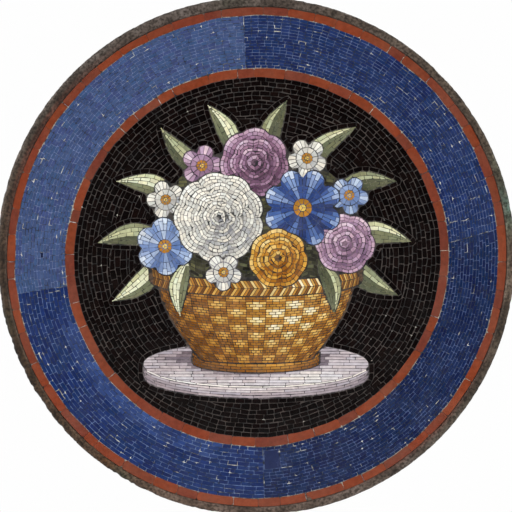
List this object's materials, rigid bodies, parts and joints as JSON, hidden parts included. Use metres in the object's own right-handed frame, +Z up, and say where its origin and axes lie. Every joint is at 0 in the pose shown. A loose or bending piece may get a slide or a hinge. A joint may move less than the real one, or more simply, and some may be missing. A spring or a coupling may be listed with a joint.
{
  "type": "mosaic panel",
  "caption": "Round micromosaic panel: glass tesserae in a copper tray, a basket of flowers on black inside a blue band with red borders, to be set in a lid, wall or frame.",
  "frame": {"origin": "centre of the tray's flat back, where the panel is held", "axes": "+Z up the picture, +X to its right, the picture faces -Y, and +Y leaves the back"},
  "size_m": [0.07, 0.005, 0.07],
  "materials": {
    "patinated_copper": "dark brown patina with green verdigris",
    "mastic": "matt",
    "brick_red_smalti": "opaque glass, ground flat and waxed",
    "bright_blue_smalti": "opaque glass, ground flat and waxed",
    "pale_blue_smalti": "opaque glass, ground flat and waxed",
    "mid_blue_smalti": "opaque glass, ground flat and waxed",
    "navy_smalti": "opaque glass, ground flat and waxed",
    "black_smalti": "opaque glass, ground flat and waxed",
    "lilac_grey_smalti": "opaque glass, ground flat and waxed",
    "gold_smalti": "opaque glass, ground flat and waxed",
    "white_smalti": "opaque glass, ground flat and waxed",
    "flower_blue_smalti": "opaque glass, ground flat and waxed",
    "mauve_smalti": "opaque glass, ground flat and waxed",
    "sage_smalti": "opaque glass, ground flat and waxed",
    "dark_olive_smalti": "opaque glass, ground flat and waxed"
  },
  "bodies": {
    "root": {"copper_tray": "patinated_copper", "mastic_bed": "mastic", "outer_border": "brick_red_smalti", "blue_band_upper_right": "bright_blue_smalti", "blue_band_upper_left": "pale_blue_smalti", "blue_band_lower_left": "mid_blue_smalti", "blue_band_lower_right": "navy_smalti", "inner_border": "brick_red_smalti", "rim_blossom": "white_smalti", "gold_ranunculus": "gold_smalti", "white_peony": "white_smalti", "blue_anemone": "flower_blue_smalti", "pale_blue_flower": "flower_blue_smalti", "lilac_rose": "mauve_smalti", "mauve_rose": "mauve_smalti", "right_blossom": "flower_blue_smalti", "left_blossom": "white_smalti", "top_left_blossom": "mauve_smalti", "top_right_blossom": "white_smalti", "hanging_leaf_2": "sage_smalti", "hanging_leaf_1": "sage_smalti", "basket_rim": "gold_smalti", "basket_rim_patch_1": "gold_smalti", "basket_rim_patch_2": "gold_smalti", "basket_body": "gold_smalti", "basket_foot": "gold_smalti", "foliage": "dark_olive_smalti", "foliage_patch_1": "dark_olive_smalti", "foliage_patch_2": "dark_olive_smalti", "foliage_patch_3": "dark_olive_smalti", "foliage_patch_4": "dark_olive_smalti", "foliage_patch_5": "dark_olive_smalti", "plinth_top": "lilac_grey_smalti", "plinth_side": "lilac_grey_smalti", "leaf_10": "sage_smalti", "leaf_9": "sage_smalti", "leaf_8": "sage_smalti", "leaf_7": "sage_smalti", "leaf_6": "sage_smalti", "leaf_5": "sage_smalti", "leaf_4": "sage_smalti", "leaf_3": "sage_smalti", "leaf_2": "sage_smalti", "leaf_1": "sage_smalti", "black_ground": "black_smalti"}
  },
  "joints": []
}
